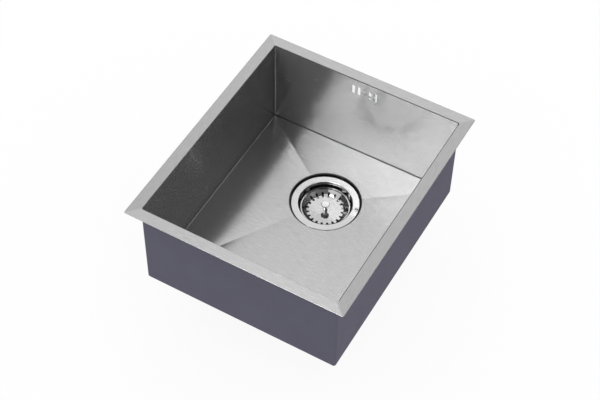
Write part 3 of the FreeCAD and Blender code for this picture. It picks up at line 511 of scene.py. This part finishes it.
def floorRows(plan):
    # straight lines from the fold to a circle round the waste, then the recess: round lip, steep wall,
    # round root, flat seat and the hole
    shape = bowlShape
    flat = ring(plan, -shape["foldRadius"], shape["innerCorner"] - shape["foldRadius"])
    waste = np.array((0.0, shape["wasteY"]))
    reach = np.linalg.norm(flat - waste, axis=1, keepdims=True)
    aim = (flat - waste) / reach
    lip = shape["lipRadius"]
    small = shape["lipRound"]
    rows = []
    between = np.linspace(shape["floorStart"], shape["floorEnd"], shape["floorSteps"])
    for part in np.concatenate([shape["floorHead"], between, [1.0]]):
        spot = waste + aim * (reach + (lip + shape["lipMargin"] - reach) * part)
        rows.append(atHeight(spot, floorHeight(spot)))
    lipLevel = floorHeight(waste + aim * lip)
    rows.append(atHeight(waste + aim * lip, lipLevel))
    for angle in np.radians(np.linspace(shape["lipStart"], shape["lipEnd"], shape["lipSteps"])):
        spot = waste + aim * (lip - small * math.sin(angle))
        rows.append(atHeight(spot, lipLevel - small * (1 - math.cos(angle))))
    root = [atHeight(waste + aim * (shape["seatRadius"] - inset), shape["seatLevel"] + lift)
            for inset, lift in shape["root"]]
    top = rows[-1]
    rows += [top + (root[0] - top) * part for part in shape["recessParts"]]
    return rows + root[1:] + [atHeight(waste + aim * shape["holeRadius"], shape["seatLevel"])]


def gridQuads(rows, columns):
    # quads of a grid that closes on itself along each row
    here = np.arange(rows - 1)[:, None] * columns + np.arange(columns)
    after = np.arange(rows - 1)[:, None] * columns + (np.arange(columns) + 1) % columns
    return np.stack([here, after, after + columns, here + columns], -1)


def brushingUv(points, quads, around, runs):
    # the grain runs along the rim and the walls, and left to right on the floor, which lies clear of them
    folded = len(runs)
    column = np.arange(quads.shape[1])
    depth = np.array(runs + [runs[-1] + bowlShape["bendMargin"]])
    uv = points[quads][..., [0, 1]] + bowlShape["floorShift"]
    start, end = around[column], around[column + 1]
    uv[:folded, ..., 0] = np.stack([start, end, end, start], -1)
    uv[:folded, :, :2, 1] = depth[:folded, None, None]
    uv[:folded, :, 2:, 1] = depth[1:folded + 1, None, None]
    return uv


def overflowCell(left, right, halfWidth, halfHeight, tangent):
    # patch between a rectangle and a round-ended slot: straight blend from the one outline to the other
    shape = overflowShape
    across = np.linspace(0, 1, shape["cellColumns"] + 1)[:-1]
    down = np.linspace(0, 1, shape["cellRows"] + 1)[:-1]
    top, low = shape["windowTop"], shape["windowLow"]
    outerX = np.concatenate([right + (left - right) * across, np.full(len(down), left),
                             left + (right - left) * across, np.full(len(down), right)])
    outerZ = np.concatenate([np.full(len(across), top), top + (low - top) * down,
                             np.full(len(across), low), low + (top - low) * down])
    half = math.pi - 2 * tangent
    angle = np.concatenate([tangent + half * across, math.pi - tangent + 2 * tangent * down,
                            math.pi + tangent + half * across, 2 * math.pi - tangent + 2 * tangent * down])
    lift = halfHeight - halfWidth
    rise = np.concatenate([np.full(len(across), lift), lift - 2 * lift * down,
                           np.full(len(across), -lift), -lift + 2 * lift * down])
    innerX = (left + right) / 2 + halfWidth * np.cos(angle)
    innerZ = shape["middle"] + rise + halfWidth * np.sin(angle)
    blend = np.array(shape["blend"])[:, None]
    x = outerX + (innerX - outerX) * blend
    z = outerZ + (innerZ - outerZ) * blend
    return x, z


def overflowPatches(startU, startV):
    # the five cells from right to left, each with its points, quads and UV
    flow = overflowShape
    windowHalf = flow["pitch"] * flow["cells"] / 2
    for number in range(flow["cells"]):
        right = windowHalf - number * flow["pitch"]
        left = right - flow["pitch"]
        if number == flow["screwCell"]:
            x, z = overflowCell(left, right, flow["screwRadius"], flow["screwRadius"], math.pi / 4)
        else:
            x, z = overflowCell(left, right, flow["slotHalfWidth"], flow["slotHalfHeight"], 0.0)
        points = np.stack([x, np.full(x.shape, bowlShape["innerHalf"][1]), z], -1).reshape(-1, 3)
        quads = gridQuads(*x.shape).reshape(-1, 4)
        uv = np.stack([startU + windowHalf - points[:, 0], startV + flow["windowTop"] - points[:, 2]], -1)
        yield points, quads, uv[quads]


def buildBowl():
    # all rows make one grid; the overflow is let into its back wall, and points that meet are welded
    plan = ringPlan()
    share, outward = plan
    rows, runs, windowRow = foldedRows(plan)
    rows += floorRows(plan)
    columns = len(share)
    points = np.concatenate(rows)
    quads = gridQuads(len(rows), columns)
    loop = ring(plan, 0.0, bowlShape["innerCorner"])
    steps = np.linalg.norm(np.roll(loop, -1, axis=0) - loop, axis=1)
    around = np.concatenate([[0], np.cumsum(steps)])
    uv = brushingUv(points, quads, around, runs)
    # the window for the overflow is left out of the grid and filled with its five cells
    flow = overflowShape
    back = np.where((share[:, 1] == 1) & (outward[:, 1] == 1) & (np.abs(outward[:, 0]) < tiny))[0]
    windowHalf = flow["pitch"] * flow["cells"] / 2
    window = back[np.abs(points[back + windowRow * columns, 0]) < windowHalf + tiny]
    keep = np.ones(quads.shape[:2], bool)
    keep[windowRow:windowRow + flow["cellRows"], window[0]:window[-1]] = False
    allPoints = [points]
    allQuads = [quads[keep]]
    allUv = [uv[keep]]
    count = len(points)
    for cellPoints, cellQuads, cellUv in overflowPatches(around[window[0]], runs[windowRow]):
        allPoints.append(cellPoints)
        allQuads.append(cellQuads + count)
        allUv.append(cellUv)
        count += len(cellPoints)
    piece = addMesh("bowlSheet", np.concatenate(allPoints) * mm, np.concatenate(allQuads),
                    np.concatenate(allUv).reshape(-1, 2) * mm)
    weld = bmesh.new()
    weld.from_mesh(piece.data)
    bmesh.ops.remove_doubles(weld, verts=weld.verts, dist=tiny)
    weld.to_mesh(piece.data)
    weld.free()
    return piece


def thicken(piece, thickness, sharpAngle):
    # gives the sheet its gauge below the drawn side, then marks the cut edges sharp
    wall = piece.modifiers.new("gauge", "SOLIDIFY")
    wall.thickness = thickness
    wall.offset = -1
    wall.use_even_offset = True
    made = bpy.data.meshes.new_from_object(piece.evaluated_get(bpy.context.evaluated_depsgraph_get()))
    piece.modifiers.clear()
    old = piece.data
    piece.data = made
    bpy.data.meshes.remove(old)
    made.polygons.foreach_set("use_smooth", np.ones(len(made.polygons), bool))
    made.set_sharp_from_angle(angle=math.radians(sharpAngle))


finishes = {
    "satin_steel": brushedSheetMaterial(),
    "sprayed_coat": grainedMaterial("sprayedSoundCoat", sprayedCoat),
    "polished_steel": polishedMaterial("polishedStainlessPressing", polishedPressing),
    "basket_steel": polishedMaterial("polishedStainlessBasket", polishedBasket),
    "knob_steel": polishedMaterial("turnedPolishedStainless", turnedKnob),
    "screw_steel": polishedMaterial("brightStainlessScrew", screwSteel),
    "insert_brass": polishedMaterial("turnedBrassInsert", turnedBrass),
    "seal_rubber": grainedMaterial("mouldedBlackRubber", blackRubber),
    "pale_gasket": grainedMaterial("closedCellGasketFoam", paleFoam),
    "white_plastic": grainedMaterial("mouldedWhitePolypropylene", mouldedWhite),
    "clear_plastic": grainedMaterial("naturalPolypropylene", naturalClear),
}
for part in frame["record"]["subparts"]:
    node = frame["nodes"][part["node"]]
    node.data.materials.clear()
    node.data.materials.append(finishes[part["material_slot"]])
print("materials set:", len(finishes))

bowl = buildBowl()
print("bowl sheet:", len(bowl.data.polygons), "quads")
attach(bowl, "sink")
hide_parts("bowl")
bowl.data.materials.append(finishes["satin_steel"])
thicken(bowl, bowlShape["sheet"] * mm, bowlShape["sharpAngle"])
print("bowl thickened:", len(bowl.data.polygons), "quads")
